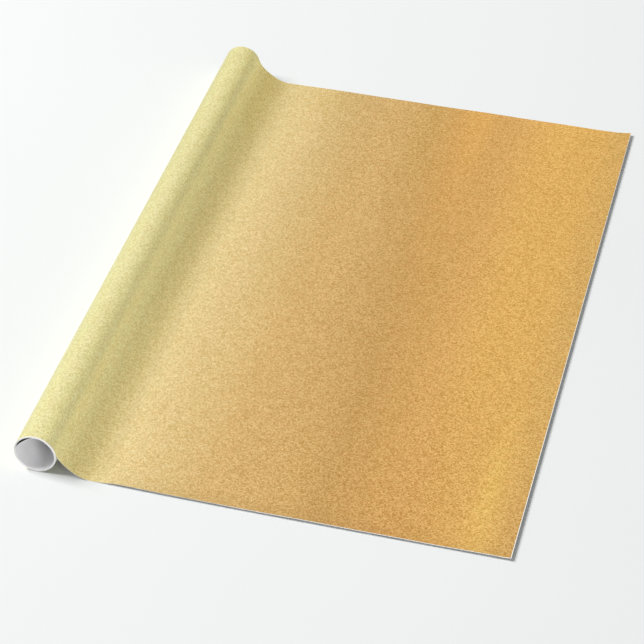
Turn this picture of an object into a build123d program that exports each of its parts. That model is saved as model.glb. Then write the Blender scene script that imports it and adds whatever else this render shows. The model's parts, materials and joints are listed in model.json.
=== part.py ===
from build123d import *
import math
import os

# A coreless roll of one-sided gift wrap, partly unrolled on a table.
# Frame: +Z up from the table top, +Y along the roll's axis, +X from the roll towards the free edge of the
# sheet.  The origin is on the table, under the middle of the whole object.  Millimetres throughout.

# --- Driving dimensions --------------------------------------------------------------------------------
WEB_WIDTH = 737.0        # width of the paper, which is also the length of the roll
WEB_LENGTH = 1829.0      # length the web was cut to
PAPER = 0.12             # thickness of the paper
TURN_PITCH = 0.15        # radial step from one wound turn to the next: the paper and a little air
ROLL_RADIUS = 21.0       # printed face of the outermost turn
DEPARTURE_ANGLE = 15.6   # where the web leaves the roll, in degrees above the horizontal through its axis
FLAT_LENGTH = 405.0      # stretch lying flat on the table, from the foot of the curve to the free edge
RUNNING_GAP = 0.25       # between the outermost turn and the turns that spin inside it
OUTER_TURN_SWEEP = 345.0 # how far round the roll the outermost turn reaches, in degrees
LOOSE_GAP = 1.7          # widest gap between the wound turns and the loose innermost turn
LOOSE_GAP_ANGLE = 135.0  # direction of that widest gap, in degrees
LOOSE_TOUCH = 0.06       # gap left on the side where the loose turn lies against the wound turns
LOOSE_SWEEP = 350.0      # how far round the loose innermost turn reaches, in degrees

# --- Worked-out dimensions -----------------------------------------------------------------------------
SIN_D = math.sin(math.radians(DEPARTURE_ANGLE))
COS_D = math.cos(math.radians(DEPARTURE_ANGLE))

# The web leaves the roll at a tangent and turns back in one arc that is tangent to the table.
# CURVE_RADIUS is the printed face of that arc, which is its inner side.
CURVE_RADIUS = (ROLL_RADIUS * (1.0 + SIN_D) - PAPER) / (1.0 - SIN_D)
CURVE_TURN = 90.0 - DEPARTURE_ANGLE

AXIS_TO_FOOT = (ROLL_RADIUS + CURVE_RADIUS) * COS_D
AXIS_TO_FREE_EDGE = AXIS_TO_FOOT + FLAT_LENGTH
AXIS_X = (ROLL_RADIUS - AXIS_TO_FREE_EDGE) / 2.0
FOOT_X = AXIS_X + AXIS_TO_FOOT
FREE_EDGE_X = AXIS_X + AXIS_TO_FREE_EDGE

ROLL_AXIS = (AXIS_X, ROLL_RADIUS)
CURVE_CENTRE = (FOOT_X, CURVE_RADIUS + PAPER)

# The wound turns fill a ring whose area is their length of web times the pitch of the winding.
WOUND_OUTER_RADIUS = ROLL_RADIUS - PAPER - RUNNING_GAP
CURVE_WEB = math.radians(CURVE_TURN) * (CURVE_RADIUS + PAPER / 2.0)
OUTER_TURN_WEB = math.radians(OUTER_TURN_SWEEP) * (ROLL_RADIUS - PAPER / 2.0)
LOOSE_WEB = math.radians(LOOSE_SWEEP) * (ROLL_RADIUS - LOOSE_GAP - PAPER)
WOUND_WEB = WEB_LENGTH - FLAT_LENGTH - CURVE_WEB - OUTER_TURN_WEB - LOOSE_WEB
WOUND_INNER_RADIUS = math.sqrt(WOUND_OUTER_RADIUS**2 - WOUND_WEB * TURN_PITCH / math.pi)

# The loose innermost turn is round, and set off centre so that it lies against the wound turns on one
# side and stands clear of them on the other.
LOOSE_OFFSET = (LOOSE_GAP - LOOSE_TOUCH) / 2.0
LOOSE_OUTER_RADIUS = WOUND_INNER_RADIUS - LOOSE_TOUCH - LOOSE_OFFSET
BORE_RADIUS = LOOSE_OUTER_RADIUS - PAPER
LOOSE_AXIS = (
    AXIS_X - LOOSE_OFFSET * math.cos(math.radians(LOOSE_GAP_ANGLE)),
    ROLL_RADIUS - LOOSE_OFFSET * math.sin(math.radians(LOOSE_GAP_ANGLE)),
)
LOOSE_START_ANGLE = LOOSE_GAP_ANGLE - 180.0


def point_at(centre, radius, angle):
    """Point (x, z) of the cross-section at a radius and an angle in degrees from +X towards +Z."""
    turn = math.radians(angle)
    return (centre[0] + radius * math.cos(turn), centre[1] + radius * math.sin(turn))


def across_the_web(section):
    """Extrude an (x, z) cross-section over the whole width of the web, centred on Y = 0."""
    return extrude(section, amount=WEB_WIDTH / 2.0, both=True)


def curved_sheet(centre, inner_radius, outer_radius, start_angle, sweep):
    """A round stretch of the web: a band between two radii over a sweep of less than a full turn."""
    end_angle = start_angle + sweep
    mid_angle = start_angle + sweep / 2.0
    with BuildSketch(Plane.XZ) as section:
        with BuildLine():
            ThreePointArc(
                point_at(centre, outer_radius, start_angle),
                point_at(centre, outer_radius, mid_angle),
                point_at(centre, outer_radius, end_angle),
            )
            Line(point_at(centre, outer_radius, end_angle), point_at(centre, inner_radius, end_angle))
            ThreePointArc(
                point_at(centre, inner_radius, end_angle),
                point_at(centre, inner_radius, mid_angle),
                point_at(centre, inner_radius, start_angle),
            )
            Line(point_at(centre, inner_radius, start_angle), point_at(centre, outer_radius, start_angle))
        make_face()
    return across_the_web(section.sketch)


def make_flat_sheet():
    """The unrolled stretch that lies on the table, from the foot of the curve to the free edge."""
    return Pos((FOOT_X + FREE_EDGE_X) / 2.0, 0, PAPER / 2.0) * Box(FLAT_LENGTH, WEB_WIDTH, PAPER)


def make_lead_off_curve():
    """The reverse curve in which the web comes down from the roll to the table."""
    return curved_sheet(CURVE_CENTRE, CURVE_RADIUS, CURVE_RADIUS + PAPER, 270.0 - CURVE_TURN, CURVE_TURN)


def make_outer_turn():
    """The outermost turn, from where the web leaves the roll back over the top and round underneath."""
    return curved_sheet(ROLL_AXIS, ROLL_RADIUS - PAPER, ROLL_RADIUS, DEPARTURE_ANGLE, OUTER_TURN_SWEEP)


def make_wound_turns():
    """The tightly wound turns inside the outermost one, as the ring that they fill."""
    with BuildSketch(Plane.XZ) as section:
        with Locations(ROLL_AXIS):
            Circle(WOUND_OUTER_RADIUS)
            Circle(WOUND_INNER_RADIUS, mode=Mode.SUBTRACT)
    return across_the_web(section.sketch)


def make_inner_turn():
    """The loose innermost turn, which ends in the web's inner edge and lines the open bore."""
    return curved_sheet(LOOSE_AXIS, BORE_RADIUS, LOOSE_OUTER_RADIUS, LOOSE_START_ANGLE, LOOSE_SWEEP)


NODES = {
    "flat_sheet": make_flat_sheet,
    "lead_off_curve": make_lead_off_curve,
    "outer_turn": make_outer_turn,
    "wound_turns": make_wound_turns,
    "inner_turn": make_inner_turn,
}

os.makedirs("parts", exist_ok=True)
for name, make in NODES.items():
    export_step(make(), f"parts/{name}.step")

print(f"roll axis at x {AXIS_X:.3f}, z {ROLL_RADIUS:.3f}; foot of the curve at x {FOOT_X:.3f}")
print(f"free edge at x {FREE_EDGE_X:.3f}; lead-off curve radius {CURVE_RADIUS:.3f}")
print(f"wound turns: radius {WOUND_INNER_RADIUS:.3f} to {WOUND_OUTER_RADIUS:.3f}, {WOUND_WEB:.1f} of web")
print(f"bore radius {BORE_RADIUS:.3f} about x {LOOSE_AXIS[0]:.3f}, z {LOOSE_AXIS[1]:.3f}")
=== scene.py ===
"""Looks of a coreless roll of gold gift wrap, partly unrolled on a table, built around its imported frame."""

import json
import logging
import math
from dataclasses import dataclass
from enum import Enum

import bpy
import numpy as np
from mathutils import Matrix, Vector


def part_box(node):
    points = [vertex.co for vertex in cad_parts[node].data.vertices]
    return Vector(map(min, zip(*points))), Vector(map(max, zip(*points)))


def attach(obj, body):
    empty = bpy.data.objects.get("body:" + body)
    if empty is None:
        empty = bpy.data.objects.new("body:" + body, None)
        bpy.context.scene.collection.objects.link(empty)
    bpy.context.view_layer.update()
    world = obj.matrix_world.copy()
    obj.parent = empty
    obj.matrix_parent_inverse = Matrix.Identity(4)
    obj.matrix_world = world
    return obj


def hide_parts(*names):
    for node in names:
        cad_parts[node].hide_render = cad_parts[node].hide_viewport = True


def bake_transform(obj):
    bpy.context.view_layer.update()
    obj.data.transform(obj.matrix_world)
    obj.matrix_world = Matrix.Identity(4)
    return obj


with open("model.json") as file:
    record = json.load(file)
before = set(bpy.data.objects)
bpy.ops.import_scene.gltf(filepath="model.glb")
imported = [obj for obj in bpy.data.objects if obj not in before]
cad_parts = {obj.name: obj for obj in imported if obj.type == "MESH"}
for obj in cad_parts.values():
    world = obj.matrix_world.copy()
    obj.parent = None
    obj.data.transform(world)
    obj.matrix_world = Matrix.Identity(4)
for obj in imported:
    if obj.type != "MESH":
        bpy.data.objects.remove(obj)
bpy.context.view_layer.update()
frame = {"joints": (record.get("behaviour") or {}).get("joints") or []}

LOG = logging.getLogger("gift_wrap")
MM = 0.001
SHARP_EDGE = math.radians(40.0)

Colour = tuple[float, float, float]
Span = tuple[float, float]


class Body(Enum):
    """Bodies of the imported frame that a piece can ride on."""

    SHEET = "sheet"
    LEAD_OFF = "lead_off"
    ROLL = "roll"


class Slot(Enum):
    """Material slots of the record."""

    PRINTED_FACE = "printed_face"
    WHITE_BACK = "white_back"


class Face(Enum):
    """Which finish a face of the paper wears; the value is its material index on the mesh."""

    PRINT = 0
    STOCK = 1


def srgb(code: str) -> tuple[float, float, float, float]:
    """Turn a six-digit hex colour into linear values.

    Args:
        code: The colour as six hex digits.

    Returns:
        Red, green, blue and alpha, linear.
    """
    channels = np.array([int(code[i : i + 2], 16) for i in (0, 2, 4)]) / 255.0
    linear = np.where(channels <= 0.04045, channels / 12.92, ((channels + 0.055) / 1.055) ** 2.4)
    return (*(float(c) for c in linear), 1.0)


def edge_rise(distance: np.ndarray, reach: float) -> np.ndarray:
    """Share of a rise towards an edge: the square of what is left of the reach, so 1 on the edge itself."""
    return np.clip(1.0 - distance / reach, 0.0, 1.0) ** 2


def smooth_step(share: np.ndarray) -> np.ndarray:
    """Ease a share between 0 and 1: three times its square less twice its cube."""
    return share * share * (3.0 - 2.0 * share)


class NodeSketch:
    """A short way to lay down and wire the nodes of one material."""

    def __init__(self, name: str) -> None:
        """Start an empty node material.

        Args:
            name: Name of the material.
        """
        self.material = bpy.data.materials.new(name)
        self.material.use_nodes = True
        self.tree = self.material.node_tree
        self.tree.nodes.clear()

    def add(self, kind: str, inputs: dict | None = None, **settings: object) -> bpy.types.Node:
        """Add a node, set its properties, and set or wire its inputs.

        Args:
            kind: The node's type name.
            inputs: Input name or index to a socket to wire in, or a plain value.
            **settings: Properties of the node.

        Returns:
            The new node.
        """
        node = self.tree.nodes.new(kind)
        for key, value in settings.items():
            setattr(node, key, value)
        for key, value in (inputs or {}).items():
            if isinstance(value, bpy.types.NodeSocket):
                self.tree.links.new(value, node.inputs[key])
            else:
                node.inputs[key].default_value = value
        return node

    def math(self, operation: str, a: object, b: object = 0.0, c: object = 0.0) -> bpy.types.NodeSocket:
        """Add a Math node.

        Args:
            operation: Name of the operation.
            a: First value or socket.
            b: Second value or socket.
            c: Third value or socket.

        Returns:
            The result socket.
        """
        return self.add("ShaderNodeMath", {0: a, 1: b, 2: c}, operation=operation).outputs[0]

    def remap(
        self, value: object, low: float, high: float, to_low: float, to_high: float
    ) -> bpy.types.NodeSocket:
        """Map a value from one range to another with smooth ends.

        Args:
            value: Socket to map.
            low: Value that becomes to_low.
            high: Value that becomes to_high.
            to_low: Result at low and below.
            to_high: Result at high and above.

        Returns:
            The mapped socket.
        """
        node = self.add(
            "ShaderNodeMapRange",
            {"Value": value, "From Min": low, "From Max": high, "To Min": to_low, "To Max": to_high},
            interpolation_type="SMOOTHSTEP",
        )
        return node.outputs["Result"]

    def ramp(self, value: bpy.types.NodeSocket, stops: list[tuple[float, str]]) -> bpy.types.NodeSocket:
        """Add a colour ramp.

        Args:
            value: Position socket, 0 to 1.
            stops: Positions and hex colours, in order.

        Returns:
            The colour socket.
        """
        node = self.add("ShaderNodeValToRGB", {0: value})
        elements = node.color_ramp.elements
        for _ in stops[2:]:
            elements.new(0.5)
        for element, (position, code) in zip(elements, stops):
            element.position = position
            element.color = srgb(code)
        return node.outputs["Color"]

    def scaled(self, vector: Colour, factor: bpy.types.NodeSocket) -> bpy.types.NodeSocket:
        """Scale a fixed vector by a factor.

        Args:
            vector: The vector.
            factor: Factor socket.

        Returns:
            The scaled vector.
        """
        return self.add("ShaderNodeVectorMath", {0: vector, "Scale": factor}, operation="SCALE").outputs[0]

    def sum(self, a: bpy.types.NodeSocket, b: object) -> bpy.types.NodeSocket:
        """Add two vectors.

        Args:
            a: First vector socket.
            b: Second vector or socket.

        Returns:
            Their sum.
        """
        return self.add("ShaderNodeVectorMath", {0: a, 1: b}, operation="ADD").outputs[0]

    def mix(self, factor: object, a: object, b: object) -> bpy.types.NodeSocket:
        """Mix two colours.

        Args:
            factor: Share of b.
            a: First colour or socket.
            b: Second colour or socket.

        Returns:
            The mixed colour.
        """
        node = self.add("ShaderNodeMix", {"Factor": factor}, data_type="RGBA")
        for socket, value in ((node.inputs[6], a), (node.inputs[7], b)):
            if isinstance(value, bpy.types.NodeSocket):
                self.tree.links.new(value, socket)
            else:
                socket.default_value = value
        return node.outputs[2]

    def finish(self, shader: bpy.types.Node) -> bpy.types.Material:
        """Wire the shader to the output.

        Args:
            shader: The shader node.

        Returns:
            The finished material.
        """
        self.add("ShaderNodeOutputMaterial", {"Surface": shader.outputs[0]})
        return self.material


@dataclass(frozen=True)
class PaintedLightPatch:
    """A soft patch of painted light on the print, or of painted shade where its gain is below nought.

    Its middle is given along the web from the free edge and across it from the near edge, with a reach each
    way. The gain is what it adds in its middle, as a share of the print's red, green and blue.
    """

    along: float
    across: float
    reach_along: float
    reach_across: float
    gain: Colour


@dataclass(frozen=True)
class GoldPrintAndPaintedLight:
    """Satin gold print that pales and greens towards the roll, with a fine even grain; part of the paling is
    painted light.

    The print is laid out along the web: its UV map holds the distance from the free edge and the distance
    across the paper, both in metres. The tone follows the first of the two through a few soft bands. The
    bands hold the print's own colour together with painted light: a painted highlight pales the roll over its
    top and its side away from the sheet, and the shaded valley of the reverse curve is painted lighter to
    make up for its shade. A few wide patches of painted light and painted shade lie over it, and the grain
    moves blue most and red least, so that dark flecks look warmer. The tones' distances are in millimetres;
    every gain is a share of the tone it works on. From a set distance along, on the turns inside the roll,
    the print is painted
    near black: painted shade for the deep gap of the open crescent in the mouth.
    """

    web_width: float
    margin: float = 0.6 * MM
    margin_blur: float = 0.15
    margin_tone: str = "FBFAF4"
    margin_lost_far: float = 0.37 * MM
    margin_lost_by_curve: float = 0.55 * MM
    margin_closes: Span = (220.0 * MM, 360.0 * MM)
    margin_opens: Span = (420.0 * MM, 460.0 * MM)
    roughness: float = 0.58
    roughness_spread: float = 0.12
    metallic: float = 0.12
    bump_strength: float = 0.15
    bump_height: float = 0.2 * MM
    fleck_size: float = 1.15 * MM
    grain_gain: Colour = (0.47, 0.65, 1.16)
    grain_fades: Span = (230.0 * MM, 470.0 * MM)
    grain_left: float = 0.58
    mottle_size: float = 9.0 * MM
    mottle_gain: Colour = (0.14, 0.02, 0.00)
    streaks_per_metre: tuple[float, float, float] = (16.0, 2.2, 1.0)
    streak_gain: Colour = (0.06, 0.06, 0.06)
    streak_drift: float = 0.016
    # Painted shade: the turns inside the roll are painted near black, so that the open crescent in the mouth
    # looks like a deep shaded gap.
    gap_shade_from: float = 590.0 * MM
    gap_shade_fade: float = 20.0 * MM
    painted_gap_shade: str = "2A2212"
    # Tone bands along the web: the print's own colour with painted light in it, a painted highlight over the
    # roll and a painted lightening of the curve's shaded valley.
    tones_and_painted_light: tuple[tuple[float, str], ...] = (
        (0, "CDA35A"),
        (35, "D9AA5B"),
        (85, "DCAC5C"),
        (120, "D7A65C"),
        (155, "CD9F59"),
        (190, "C69B59"),
        (225, "CDA462"),
        (260, "D2AA69"),
        (295, "D2AC6C"),
        (330, "D6B678"),
        (365, "DFC387"),
        (400, "DFC98E"),
        (412, "EBD591"),
        (424, "F3DF96"),
        (440, "F8EBA5"),
        (456, "EDE6A8"),
        (468, "F1E6A1"),
        (480, "E4D99F"),
        (490, "D7D094"),
        (498, "CDC792"),
        (507, "CDC78E"),
        (530, "DEDBBE"),
    )
    # Patches of painted light (gain above nought) and painted shade (gain below nought): middle along and
    # across, reach along and across, and the gain in red, green and blue.
    painted_light_patches: tuple[PaintedLightPatch, ...] = (
        PaintedLightPatch(0.180, 0.737, 0.030, 0.300, (0.17, 0.11, 0.0)),
        PaintedLightPatch(0.050, 0.737, 0.070, 0.300, (0.07, 0.06, 0.01)),
        PaintedLightPatch(0.035, 0.000, 0.022, 0.150, (0.06, 0.08, 0.08)),
        PaintedLightPatch(0.100, 0.000, 0.055, 0.100, (-0.08, -0.11, -0.08)),
        PaintedLightPatch(0.000, 0.000, 0.016, 0.120, (-0.09, -0.12, -0.10)),
        PaintedLightPatch(0.402, 0.000, 0.010, 0.030, (0.05, 0.07, 0.07)),
        PaintedLightPatch(0.440, 0.737, 0.030, 0.150, (0.06, 0.01, -0.14)),
        PaintedLightPatch(0.037, 0.090, 0.010, 0.080, (0.05, 0.11, 0.04)),
        PaintedLightPatch(0.095, 0.130, 0.045, 0.120, (-0.04, -0.06, -0.05)),
        PaintedLightPatch(0.172, 0.737, 0.018, 0.110, (0.08, 0.08, 0.03)),
        PaintedLightPatch(0.225, 0.700, 0.025, 0.140, (-0.03, -0.04, -0.13)),
        PaintedLightPatch(0.350, 0.737, 0.035, 0.060, (-0.04, -0.06, -0.14)),
        PaintedLightPatch(0.499, 0.600, 0.011, 0.260, (-0.09, -0.10, -0.15)),
    )

    def build(self) -> bpy.types.Material:
        """Lay down the print's nodes.

        Returns:
            The print's material.
        """
        sketch = NodeSketch("gold_print_and_painted_light")
        web = sketch.add("ShaderNodeUVMap", uv_map="web").outputs["UV"]
        place = sketch.add("ShaderNodeSeparateXYZ", {0: web})
        along, across = place.outputs["X"], place.outputs["Y"]
        last = self.tones_and_painted_light[-1][0]
        stops = [(distance / last, code) for distance, code in self.tones_and_painted_light]

        streaks = self._streaks(sketch, web)
        drift = sketch.math("MULTIPLY_ADD", streaks, self.streak_drift, -self.streak_drift / 2.0)
        tone_place = sketch.math("ADD", sketch.math("DIVIDE", along, last * MM), drift)
        # Painted shade: the tone fades to near black on the turns inside the roll.
        gap_shade = sketch.remap(along, self.gap_shade_from, self.gap_shade_from + self.gap_shade_fade, 0.0, 1.0)
        tone = sketch.mix(gap_shade, sketch.ramp(tone_place, stops), srgb(self.painted_gap_shade))

        grain, mottle = self._grain(sketch)
        faint = sketch.remap(along, *self.grain_fades, 1.0, self.grain_left)
        fleck = sketch.math("MULTIPLY", sketch.math("SUBTRACT", grain, 0.5), faint)
        change = sketch.scaled(self.grain_gain, fleck)
        change = sketch.sum(change, sketch.scaled(self.mottle_gain, sketch.math("SUBTRACT", mottle, 0.5)))
        # Patches of painted light and painted shade over the print's tone.
        for light_patch in self.painted_light_patches:
            change = sketch.sum(change, sketch.scaled(light_patch.gain, self._light_patch_level(sketch, light_patch, along, across)))
        change = sketch.sum(change, sketch.scaled(self.streak_gain, sketch.math("SUBTRACT", streaks, 0.5)))
        gold = sketch.add(
            "ShaderNodeVectorMath",
            {0: tone, 1: sketch.sum(change, (1.0, 1.0, 1.0))},
            operation="MULTIPLY",
        ).outputs[0]

        printed = sketch.mix(self._print_share(sketch, along, across), srgb(self.margin_tone), gold)
        smoothest = self.roughness - self.roughness_spread / 2.0
        rough = sketch.math("MULTIPLY_ADD", grain, self.roughness_spread, smoothest)
        bump = sketch.add(
            "ShaderNodeBump",
            {"Strength": self.bump_strength, "Distance": self.bump_height, "Height": mottle},
        )
        shader = sketch.add(
            "ShaderNodeBsdfPrincipled",
            {
                "Base Color": printed,
                "Roughness": rough,
                "Metallic": self.metallic,
                "Normal": bump.outputs[0],
            },
        )
        return sketch.finish(shader)

    def _grain(self, sketch: NodeSketch) -> tuple[bpy.types.NodeSocket, bpy.types.NodeSocket]:
        """Flecks of the metallic ink, and the slow mottling under them.

        Each fleck is one cell of an irregular mosaic with a level of its own. The flecks lie in the space of
        the table, so that they keep their size however much of the web is laid out.

        Args:
            sketch: The material being laid down.

        Returns:
            Fleck level and mottling level, about 0 to 1.
        """
        place = sketch.add("ShaderNodeTexCoord").outputs["Object"]
        cells = sketch.add("ShaderNodeTexVoronoi", {"Vector": place, "Scale": 1.0 / self.fleck_size})
        level = sketch.add("ShaderNodeSeparateColor", {0: cells.outputs["Color"]}).outputs[0]
        mottle = sketch.add(
            "ShaderNodeTexNoise",
            {"Vector": place, "Scale": 1.0 / self.mottle_size, "Detail": 2.0, "Roughness": 0.7},
        )
        return level, mottle.outputs["Fac"]

    def _light_patch_level(
        self, sketch: NodeSketch, light_patch: PaintedLightPatch, along: bpy.types.NodeSocket, across: bpy.types.NodeSocket
    ) -> bpy.types.NodeSocket:
        """Level of one patch of painted light or shade: a bell that falls off with the squares of both
        distances over the reaches.

        Args:
            sketch: The material being laid down.
            light_patch: The patch of painted light or shade.
            along: Distance from the free edge.
            across: Distance across the web.

        Returns:
            Level, 1 in the middle of the patch.
        """
        squares = []
        for value, middle, reach in (
            (along, light_patch.along, light_patch.reach_along),
            (across, light_patch.across, light_patch.reach_across),
        ):
            off = sketch.math("DIVIDE", sketch.math("SUBTRACT", value, middle), reach)
            squares.append(sketch.math("MULTIPLY", off, off))
        return sketch.math("EXPONENT", sketch.math("MULTIPLY", sketch.math("ADD", *squares), -1.0))

    def _streaks(self, sketch: NodeSketch, web: bpy.types.NodeSocket) -> bpy.types.NodeSocket:
        """Broad soft streaks that run across the web, from slow changes in the ink.

        Args:
            sketch: The material being laid down.
            web: The web's own coordinates.

        Returns:
            Streak level, about 0 to 1.
        """
        stretched = sketch.add("ShaderNodeMapping", {"Vector": web, "Scale": self.streaks_per_metre})
        noise = sketch.add(
            "ShaderNodeTexNoise",
            {"Vector": stretched.outputs[0], "Scale": 1.0, "Detail": 1.0, "Roughness": 0.4},
            noise_dimensions="2D",
        )
        return noise.outputs["Fac"]

    def _print_share(
        self, sketch: NodeSketch, along: bpy.types.NodeSocket, across: bpy.types.NodeSocket
    ) -> bpy.types.NodeSocket:
        """How much ink there is: full inside, none in the bare hairline margin along the cut edges.

        The margin narrows evenly towards the far side. It also all but closes on the flat sheet before the
        curve, and opens again on the curve.

        Args:
            sketch: The material being laid down.
            along: Distance from the free edge.
            across: Distance across the web.

        Returns:
            Ink share, 0 to 1.
        """
        other_side = sketch.math("SUBTRACT", self.web_width, across)
        nearest = sketch.math("MINIMUM", sketch.math("MINIMUM", across, other_side), along)
        nearest = sketch.math("MULTIPLY_ADD", across, self.margin_lost_far / self.web_width, nearest)
        lost = self.margin_lost_by_curve
        for span, change in ((self.margin_closes, lost), (self.margin_opens, -lost)):
            nearest = sketch.math("ADD", sketch.remap(along, *span, 0.0, change), nearest)
        bare, full = self.margin * (1.0 - self.margin_blur), self.margin * (1.0 + self.margin_blur)
        return sketch.remap(nearest, bare, full, 0.0, 1.0)


@dataclass(frozen=True)
class WhiteStock:
    """Uncoated white base paper: the back of the web and its cut edges."""

    fibre_size: float = 0.8 * MM
    cloud_size: float = 14.0 * MM
    deep_tone: str = "E4E3E4"
    light_tone: str = "F2F1F2"
    smoothest: float = 0.68
    roughness_spread: float = 0.15
    bump_strength: float = 0.2
    bump_height: float = 0.03 * MM

    def build(self) -> bpy.types.Material:
        """Lay down the paper's nodes.

        Returns:
            The base paper's material.
        """
        sketch = NodeSketch("white_stock")
        place = sketch.add("ShaderNodeTexCoord").outputs["Object"]
        fibre = sketch.add(
            "ShaderNodeTexNoise",
            {"Vector": place, "Scale": 1.0 / self.fibre_size, "Detail": 3.0, "Roughness": 0.6},
        ).outputs["Fac"]
        cloud = sketch.add(
            "ShaderNodeTexNoise",
            {"Vector": place, "Scale": 1.0 / self.cloud_size, "Detail": 2.0},
        ).outputs["Fac"]
        level = sketch.math("MULTIPLY_ADD", fibre, 0.5, sketch.math("MULTIPLY", cloud, 0.5))
        colour = sketch.ramp(level, [(0.25, self.deep_tone), (0.75, self.light_tone)])
        rough = sketch.math("MULTIPLY_ADD", fibre, self.roughness_spread, self.smoothest)
        bump = sketch.add(
            "ShaderNodeBump",
            {"Strength": self.bump_strength, "Distance": self.bump_height, "Height": fibre},
        )
        shader = sketch.add(
            "ShaderNodeBsdfPrincipled",
            {"Base Color": colour, "Roughness": rough, "Normal": bump.outputs[0]},
        )
        return sketch.finish(shader)


@dataclass(frozen=True)
class TableFinish:
    """Plain pale studio table."""

    clouds_per_metre: float = 1.5
    deep_tone: str = "F2F4F3"
    light_tone: str = "F4F6F5"
    roughness: float = 0.9
    gloss: float = 0.2

    def build(self) -> bpy.types.Material:
        """Lay down the table's nodes.

        Returns:
            The table's material.
        """
        sketch = NodeSketch("table_finish")
        place = sketch.add("ShaderNodeTexCoord").outputs["Object"]
        cloud = sketch.add("ShaderNodeTexNoise", {"Vector": place, "Scale": self.clouds_per_metre})
        colour = sketch.ramp(cloud.outputs["Fac"], [(0.3, self.deep_tone), (0.7, self.light_tone)])
        shader = sketch.add(
            "ShaderNodeBsdfPrincipled",
            {"Base Color": colour, "Roughness": self.roughness, "Specular IOR Level": self.gloss},
        )
        return sketch.finish(shader)


@dataclass(frozen=True)
class Web:
    """The whole web of paper and how it lies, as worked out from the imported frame.

    The printed face is on top of the flat sheet, on the inner side of the reverse curve and on the outer
    side of the roll. All angles are in the cross-section, from +X towards +Z.
    """

    axis_x: float
    radius: float
    paper: float
    free_x: float
    near_y: float
    far_y: float
    length: float = 1.829
    departure: float = math.radians(15.6)
    outer_sweep: float = math.radians(345.0)
    far_end_taper: float = 1.4 * MM
    tight_side: float = math.radians(60.0)

    @classmethod
    def from_frame(cls) -> "Web":
        """Read the roll's axis, the paper's thickness and the sheet's edges from the frame.

        Returns:
            The web as packed.
        """
        spin = next(joint for joint in frame["joints"] if joint["name"] == "roll_spin")
        low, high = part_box("flat_sheet")
        return cls(
            axis_x=spin["pos_m"][0],
            radius=spin["pos_m"][2],
            paper=high.z,
            free_x=high.x,
            near_y=low.y,
            far_y=high.y,
        )

    @property
    def width(self) -> float:
        """Width of the paper."""
        return self.far_y - self.near_y

    @property
    def curve_radius(self) -> float:
        """Radius of the reverse curve's printed face, which is tangent to both the roll and the table."""
        rise = math.sin(self.departure)
        return (self.radius * (1.0 + rise) - self.paper) / (1.0 - rise)

    @property
    def foot_x(self) -> float:
        """Where the reverse curve meets the table."""
        return self.axis_x + (self.radius + self.curve_radius) * math.cos(self.departure)

    @property
    def flat_length(self) -> float:
        """Web lying flat, from the free edge to the foot of the curve."""
        return self.free_x - self.foot_x

    @property
    def curve_length(self) -> float:
        """Web in the reverse curve."""
        return (math.pi / 2.0 - self.departure) * (self.curve_radius + self.paper / 2.0)

    @property
    def outer_length(self) -> float:
        """Web in the outermost turn."""
        return self.outer_sweep * (self.radius - self.paper / 2.0)

    @property
    def paid_out_length(self) -> float:
        """Web in the flat sheet, the reverse curve and the outermost turn together."""
        return self.flat_length + self.curve_length + self.outer_length

    def middle_line(self, along: np.ndarray) -> tuple[np.ndarray, np.ndarray, np.ndarray, np.ndarray]:
        """Middle of the paper's thickness in the cross-section, and which way the printed face looks.

        Three stretches follow each other: a straight line along the table towards -X, an arc about the
        centre of the reverse curve that climbs to the roll, and an arc about the roll's axis over the top
        and round.

        Args:
            along: Distances from the free edge.

        Returns:
            X and Z at each distance, and X and Z of the printed face's unit normal.
        """
        half = self.paper / 2.0
        flat_x = self.free_x - along
        flat_z = np.full_like(along, half)

        bend_radius = self.curve_radius + half
        bend = -math.pi / 2.0 - (along - self.flat_length) / bend_radius
        bend_x = self.foot_x + bend_radius * np.cos(bend)
        bend_z = self.curve_radius + self.paper + bend_radius * np.sin(bend)

        turn_radius = self.radius - half
        turn = self.departure + (along - self.flat_length - self.curve_length) / turn_radius
        turn_x = self.axis_x + turn_radius * np.cos(turn)
        turn_z = self.radius + turn_radius * np.sin(turn)

        on_flat = along <= self.flat_length
        on_bend = along <= self.flat_length + self.curve_length
        x = np.where(on_flat, flat_x, np.where(on_bend, bend_x, turn_x))
        z = np.where(on_flat, flat_z, np.where(on_bend, bend_z, turn_z))
        face_x = np.where(on_flat, 0.0, np.where(on_bend, -np.cos(bend), np.cos(turn)))
        face_z = np.where(on_flat, 1.0, np.where(on_bend, -np.sin(bend), np.sin(turn)))
        return x, z, face_x, face_z

    def taper(self, across: np.ndarray) -> np.ndarray:
        """How much tighter the roll is wound towards its far end: nought at the near end, rising evenly."""
        return self.far_end_taper * across / self.width


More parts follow.
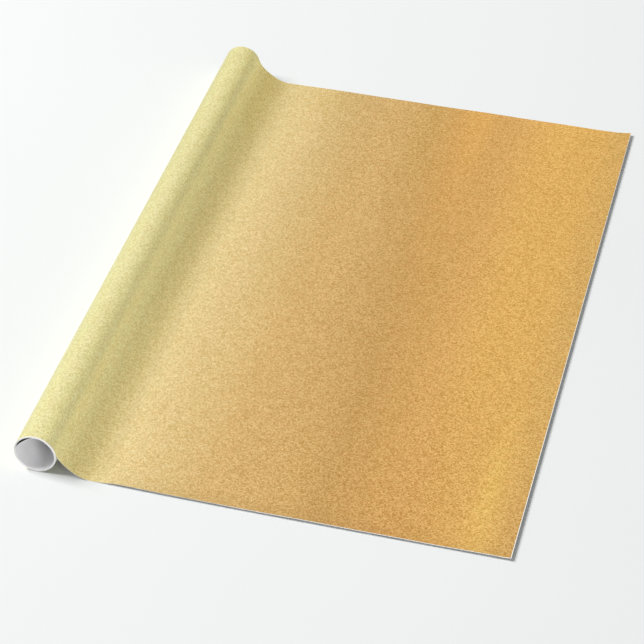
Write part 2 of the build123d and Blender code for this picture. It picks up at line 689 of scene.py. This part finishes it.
@dataclass
class PaperSurface:
    """A stretch of paper as a grid: along the web in rows, across it in columns.

    The middle surface is given as X, Y and Z over the grid. Each side of the paper lies half its thickness
    away along the normal, which is the direction along the web turned by a right angle in the cross-section.
    """

    name: str
    x: np.ndarray
    y: np.ndarray
    z: np.ndarray
    along: np.ndarray
    across: np.ndarray
    paper: float

    def build(self, finishes: list[bpy.types.Material]) -> bpy.types.Object:
        """Make the closed mesh: printed side, back, and the four cut edges between them.

        Args:
            finishes: Materials in the order of Face.

        Returns:
            The new object.
        """
        step_x = np.gradient(self.x, axis=0)
        step_z = np.gradient(self.z, axis=0)
        size = np.hypot(step_x, step_z)
        lift = np.stack([step_z / size, np.zeros_like(size), -step_x / size], axis=-1) * self.paper / 2.0
        middle = np.stack([self.x, self.y, self.z], axis=-1)
        points = np.concatenate([(middle + lift).reshape(-1, 3), (middle - lift).reshape(-1, 3)])
        quads, kinds = self._quads()
        mesh = bpy.data.meshes.new(self.name)
        mesh.from_pydata(points, [], quads)
        mesh.polygons.foreach_set("material_index", kinds)
        mesh.polygons.foreach_set("use_smooth", np.ones(len(quads), bool))
        self._lay_out(mesh, quads)
        for finish in finishes:
            mesh.materials.append(finish)
        mesh.set_sharp_from_angle(angle=SHARP_EDGE)
        mesh.validate()
        piece = bpy.data.objects.new(self.name, mesh)
        bpy.context.scene.collection.objects.link(piece)
        return piece

    def _quads(self) -> tuple[np.ndarray, np.ndarray]:
        """Number the faces of both sides and of the four edges, all facing outwards.

        Returns:
            Quads as vertex numbers, and each quad's material index.
        """
        rows, columns = self.x.shape
        top = np.arange(rows * columns).reshape(rows, columns)
        back = top + rows * columns

        def strip(a: np.ndarray, b: np.ndarray, c: np.ndarray, d: np.ndarray) -> np.ndarray:
            """Four corner arrays as rows of quads."""
            return np.stack([a, b, c, d], axis=-1).reshape(-1, 4)

        printed = strip(top[:-1, :-1], top[:-1, 1:], top[1:, 1:], top[1:, :-1])
        white = strip(back[:-1, :-1], back[1:, :-1], back[1:, 1:], back[:-1, 1:])
        near = strip(top[:-1, 0], top[1:, 0], back[1:, 0], back[:-1, 0])
        far = strip(top[:-1, -1], back[:-1, -1], back[1:, -1], top[1:, -1])
        first = strip(top[0, :-1], back[0, :-1], back[0, 1:], top[0, 1:])
        last = strip(top[-1, :-1], top[-1, 1:], back[-1, 1:], back[-1, :-1])
        bare = [white, near, far, first, last]
        quads = np.concatenate([printed, *bare])
        kinds = np.full(len(quads), Face.STOCK.value, np.int32)
        kinds[: len(printed)] = Face.PRINT.value
        return quads, kinds

    def _lay_out(self, mesh: bpy.types.Mesh, quads: np.ndarray) -> None:
        """Write the UV map "web": distance along the web and distance across it, in metres.

        Args:
            mesh: The mesh to lay out.
            quads: Its faces.
        """
        rows, columns = self.x.shape
        flat = np.stack(np.broadcast_arrays(self.along[:, None], self.across[None, :]), axis=-1)
        corners = np.tile(flat.reshape(rows * columns, 2), (2, 1))[quads.reshape(-1)]
        mesh.uv_layers.new(name="web").data.foreach_set("uv", corners.astype(np.float32).reshape(-1))


@dataclass(frozen=True)
class Wave:
    """A slow wave in the flat sheet: radians per metre along and across the web, and its first angle."""

    along: float
    across: float
    start: float = 0.0


@dataclass
class PrintedWeb:
    """The flat sheet, the reverse curve and the outermost turn, as one unbroken stretch of paper."""

    web: Web
    finishes: list[bpy.types.Material]
    flat_rows: int = 90
    curve_rows: int = 40
    turn_rows: int = 150
    columns: int = 140
    row_crowding: float = 1.25
    free_edge_lift: float = 2.8 * MM
    free_edge_reach: float = 38.0 * MM
    near_side_lift: float = 2.1 * MM
    far_side_lift: float = 0.95 * MM
    side_reach: float = 24.0 * MM
    foot_reach: float = 30.0 * MM
    free_edge_stray: float = 0.4 * MM
    near_edge_stray: float = 2.9 * MM
    stray_reach: float = 80.0 * MM
    cockle: float = 0.12 * MM
    waves: tuple[Wave, ...] = (Wave(71.0, 3.0), Wave(37.0, -7.0, 1.0))
    near_bulge: float = 1.2 * MM
    far_bulge: float = 1.8 * MM

    def build(self) -> bpy.types.Object:
        """Make the piece and hand its three nodes over to it.

        Returns:
            The printed web.
        """
        web = self.web
        along = self._rows_along()
        across = np.linspace(0.0, web.width, self.columns)
        x_line, z_line, face_x, face_z = (line[:, None] for line in web.middle_line(along))
        relief = self._lift(along, across) + self._bulge(along, across)
        free, near = self._stray(along, across)
        x = x_line + face_x * relief + free
        y = (web.near_y + across)[None, :] - near
        z = z_line + face_z * relief
        surface = PaperSurface("printed_web", x, y, z, along, across, web.paper)
        piece = surface.build(self.finishes)
        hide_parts("flat_sheet", "lead_off_curve", "outer_turn")
        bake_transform(piece)
        return piece

    def _rows_along(self) -> np.ndarray:
        """Distances of the rows from the free edge, closer together where the paper bends.

        Returns:
            The distances, rising.
        """
        web = self.web
        even = np.linspace(0.0, 1.0, self.flat_rows, endpoint=False)
        flat = web.flat_length * even**self.row_crowding
        curve = np.linspace(0.0, web.curve_length, self.curve_rows, endpoint=False)
        turn = np.linspace(0.0, web.outer_length, self.turn_rows)
        return np.concatenate([flat, web.flat_length + curve, web.flat_length + web.curve_length + turn])

    def _lift(self, along: np.ndarray, across: np.ndarray) -> np.ndarray:
        """Height of the flat sheet above the table.

        The free edge and the two sides rise as a square towards the cut edge, the far side less and less
        towards the curve. A faint cockle, the sum of a few slow sine waves raised to stay above nought, runs
        over the sheet. All of it fades out before the foot of the curve.

        Args:
            along: Distances from the free edge.
            across: Distances across the web.

        Returns:
            Lift over the grid.
        """
        s, v = along[:, None], across[None, :]
        free = self.free_edge_lift * edge_rise(s, self.free_edge_reach)
        near = self.near_side_lift * edge_rise(v, self.side_reach)
        far = self.far_side_lift * edge_rise(self.web.width - v, self.side_reach)
        far = far * np.clip(1.0 - s / self.web.flat_length, 0.0, 1.0)
        waves = sum(1.0 + np.sin(wave.along * s + wave.across * v + wave.start) for wave in self.waves)
        fade = smooth_step(np.clip((self.web.flat_length - s) / self.foot_reach, 0.0, 1.0))
        return (np.maximum(free, near + far) + self.cockle * waves) * fade

    def _stray(self, along: np.ndarray, across: np.ndarray) -> tuple[np.ndarray, np.ndarray]:
        """How far the free edge and the near edge of the flat sheet stray outwards from a true rectangle.

        Each stray rises as a square towards its edge. The near one also fades towards the foot of the curve,
        as one less the fourth power of the share of the flat sheet.

        Args:
            along: Distances from the free edge.
            across: Distances across the web.

        Returns:
            Stray towards +X as a column, and stray towards -Y over the grid.
        """
        s, v = along[:, None], across[None, :]
        free = self.free_edge_stray * edge_rise(s, self.stray_reach)
        fade = 1.0 - np.clip(s / self.web.flat_length, 0.0, 1.0) ** 4
        near = self.near_edge_stray * edge_rise(v, self.stray_reach) * fade
        return free, near

    def _bulge(self, along: np.ndarray, across: np.ndarray) -> np.ndarray:
        """How far the reverse curve and the outermost turn stand off their plain arcs.

        The stiff paper fills out the reverse curve in one smooth hump, a little more at the far end. Towards
        the far end the turn on the roll draws in by the roll's taper on its tight side and not at all on the
        opposite one, so that it still rests on the table. This fades out down the curve.

        Args:
            along: Distances from the free edge.
            across: Distances across the web.

        Returns:
            Distance towards the printed side over the grid.
        """
        share = np.clip((along[:, None] - self.web.flat_length) / self.web.curve_length, 0.0, 1.0)
        height = self.near_bulge + (self.far_bulge - self.near_bulge) * across[None, :] / self.web.width
        past = np.clip(along[:, None] - self.web.flat_length - self.web.curve_length, 0.0, None)
        angle = self.web.departure + past / self.web.radius
        drawn_in = smooth_step(share) * (1.0 + np.cos(angle - self.web.tight_side)) / 2.0
        return height * np.sin(math.pi * share) ** 2 - self.web.taper(across)[None, :] * drawn_in


@dataclass
class WoundTurns:
    """The rest of the web: turn upon turn inside the outermost one, down to the loose innermost turn.

    The middle line is a spiral whose radius falls by the winding's pitch in each turn. The last few turns
    also dip away together from the turn outside them in one smooth hump, which leaves the open crescent in
    the mouth. The turns' edges lie a little unevenly, by the product of two slow sines of the winding. The
    turns are made a little thicker than the paper, which closes most of the air between them.
    """

    web: Web
    finishes: list[bpy.types.Material]
    pitch: float = 0.15 * MM
    bulk: float = 0.14 * MM
    running_gap: float = 0.14 * MM
    rows_per_turn: int = 96
    columns: int = 24
    end_angle: float = math.radians(60.0)
    loose_gap: float = 2.3 * MM
    loose_angle: float = math.radians(130.0)
    loose_half: float = math.radians(52.0)
    loose_turns: int = 3
    uneven: float = 0.25 * MM
    uneven_beats: tuple[float, float] = (0.37, 0.11)
    uneven_start: float = 1.2

    def build(self) -> bpy.types.Object:
        """Make the piece and hand its two nodes over to it.

        Returns:
            The wound turns.
        """
        web = self.web
        length = web.length - web.paid_out_length
        outer = web.radius - web.paper * 1.5 - self.running_gap
        start = web.departure + web.outer_sweep
        sweep = self._sweep(outer, length, start)
        angle = start + np.linspace(0.0, sweep, round(self.rows_per_turn * sweep / (2.0 * math.pi)))
        wound = angle - start
        radius = outer - self.pitch * wound / (2.0 * math.pi) - self._dip(angle)
        along = web.paid_out_length + outer * wound - self.pitch * wound**2 / (4.0 * math.pi)
        across = np.linspace(0.0, web.width, self.columns)
        radius = radius[:, None] - web.taper(across)[None, :]
        quick, slow = self.uneven_beats
        slip = self.uneven * np.sin(quick * wound) * np.sin(slow * wound + self.uneven_start)
        x = web.axis_x + radius * np.cos(angle)[:, None]
        y = web.near_y + across[None, :] + slip[:, None]
        z = web.radius + radius * np.sin(angle)[:, None]
        piece = PaperSurface("wound_paper", x, y, z, along, across, self.bulk).build(self.finishes)
        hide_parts("wound_turns", "inner_turn")
        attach(piece, Body.ROLL.value)
        return piece

    def _sweep(self, outer: float, length: float, start: float) -> float:
        """How far round the spiral goes to use up its web, ending at end_angle.

        The length of a slow spiral is its outer radius times the sweep, less the pitch times the square of
        the sweep over four pi. This is solved for the sweep, and brought to the nearest one that ends at
        end_angle.

        Args:
            outer: Radius at the start.
            length: Web to wind.
            start: Angle of the start.

        Returns:
            The sweep in radians.
        """
        fall = self.pitch / (4.0 * math.pi)
        sweep = (outer - math.sqrt(outer**2 - 4.0 * fall * length)) / (2.0 * fall)
        turns = round((start + sweep - self.end_angle) / (2.0 * math.pi))
        return self.end_angle + turns * 2.0 * math.pi - start

    def _dip(self, angle: np.ndarray) -> np.ndarray:
        """How far the loose innermost turns stand away, together, from the turn outside them.

        Args:
            angle: Angles along the spiral.

        Returns:
            A smooth hump about loose_angle in each loose turn, nought elsewhere.
        """
        full = 2.0 * math.pi
        past_middle = np.mod(angle - self.loose_angle + math.pi, full) - math.pi
        share = np.clip(np.abs(past_middle) / self.loose_half, 0.0, 1.0)
        loose = angle > angle[-1] - self.loose_turns * full
        return np.where(loose, self.loose_gap * np.cos(share * math.pi / 2.0) ** 2, 0.0)


@dataclass(frozen=True)
class Light:
    """A square soft light: where it hangs, the side of its square and its power in watts."""

    name: str
    place: tuple[float, float, float]
    side: float
    power: float


@dataclass
class Studio:
    """The pale table, the soft lights and the camera, whose lens is in millimetres."""

    table_side: float = 12.0
    table_drop: float = 0.1 * MM
    azimuth: float = math.radians(13.188)
    elevation: float = math.radians(37.432)
    tilt: float = math.radians(1.543)
    distance: float = 2.58196
    aim: tuple[float, float, float] = (-0.014212, -0.068490, 0.0)
    lens: float = 140.159
    nearest_seen: float = 50.0 * MM
    sky: str = "F3F5F5"
    sky_strength: float = 0.335
    key: Light = Light("key_light", (-7.2, -0.15, 6.9), 4.1, 1020.0)
    fill: Light = Light("fill_light", (2.7, -4.1, 1.4), 1.5, 125.0)

    def build(self, paper: list[bpy.types.Object]) -> None:
        """Set up everything round the object.

        Args:
            paper: The pieces of paper, which alone catch the fill light.
        """
        bpy.context.scene.view_settings.view_transform = "Standard"
        self._table()
        self._sky()
        self._hang(self.key)
        flagged = bpy.data.collections.new("paper_only")
        for piece in paper:
            flagged.objects.link(piece)
        self._hang(self.fill).light_linking.receiver_collection = flagged
        self._camera()

    def _table(self) -> None:
        """Lay the table under the paper."""
        half = self.table_side / 2.0
        ends = np.array([-half, half])
        x, y = np.meshgrid(ends, ends, indexing="ij")
        points = np.stack([x, y, np.full_like(x, -self.table_drop)], axis=-1).reshape(-1, 3)
        mesh = bpy.data.meshes.new("table_top")
        mesh.from_pydata(points, [], [(0, 2, 3, 1)])
        mesh.materials.append(TableFinish().build())
        table = bpy.data.objects.new("table_top", mesh)
        bpy.context.scene.collection.objects.link(table)

    def _sky(self) -> None:
        """Even pale light from all round."""
        world = bpy.data.worlds.new("studio")
        world.use_nodes = True
        background = world.node_tree.nodes["Background"]
        background.inputs["Color"].default_value = srgb(self.sky)
        background.inputs["Strength"].default_value = self.sky_strength
        bpy.context.scene.world = world

    def _hang(self, plan: Light) -> bpy.types.Object:
        """Hang one square light that faces the middle of the table.

        Args:
            plan: The light to hang.

        Returns:
            The light's object.
        """
        light = bpy.data.lights.new(plan.name, "AREA")
        light.size = plan.side
        light.energy = plan.power
        lamp = bpy.data.objects.new(plan.name, light)
        lamp.location = plan.place
        lamp.rotation_euler = (-Vector(plan.place)).to_track_quat("-Z", "Y").to_euler()
        bpy.context.scene.collection.objects.link(lamp)
        return lamp

    def _camera(self) -> None:
        """Put the camera at its angle: turned left, looking down, and tilted about its line of sight."""
        level = math.cos(self.elevation)
        back = Vector(
            (math.sin(self.azimuth) * level, -math.cos(self.azimuth) * level, math.sin(self.elevation))
        )
        right = Vector((math.cos(self.azimuth), math.sin(self.azimuth), 0.0))
        up = back.cross(right)
        turn = Matrix((right, up, back)).transposed().to_4x4() @ Matrix.Rotation(self.tilt, 4, "Z")
        data = bpy.data.cameras.new("camera")
        data.lens = self.lens
        data.clip_start = self.nearest_seen
        camera = bpy.data.objects.new("camera", data)
        camera.matrix_world = Matrix.Translation(Vector(self.aim) + back * self.distance) @ turn
        bpy.context.scene.collection.objects.link(camera)
        bpy.context.scene.camera = camera


def main() -> None:
    """Build the studio and the paper."""
    logging.basicConfig(level=logging.INFO)
    web = Web.from_frame()
    finishes = [GoldPrintAndPaintedLight(web.width).build(), WhiteStock().build()]
    pieces = [maker.build() for maker in (PrintedWeb(web, finishes), WoundTurns(web, finishes))]
    for piece in pieces:
        LOG.info("%s: %d faces", piece.name, len(piece.data.polygons))
    Studio().build(pieces)


if __name__ == "__main__":
    main()
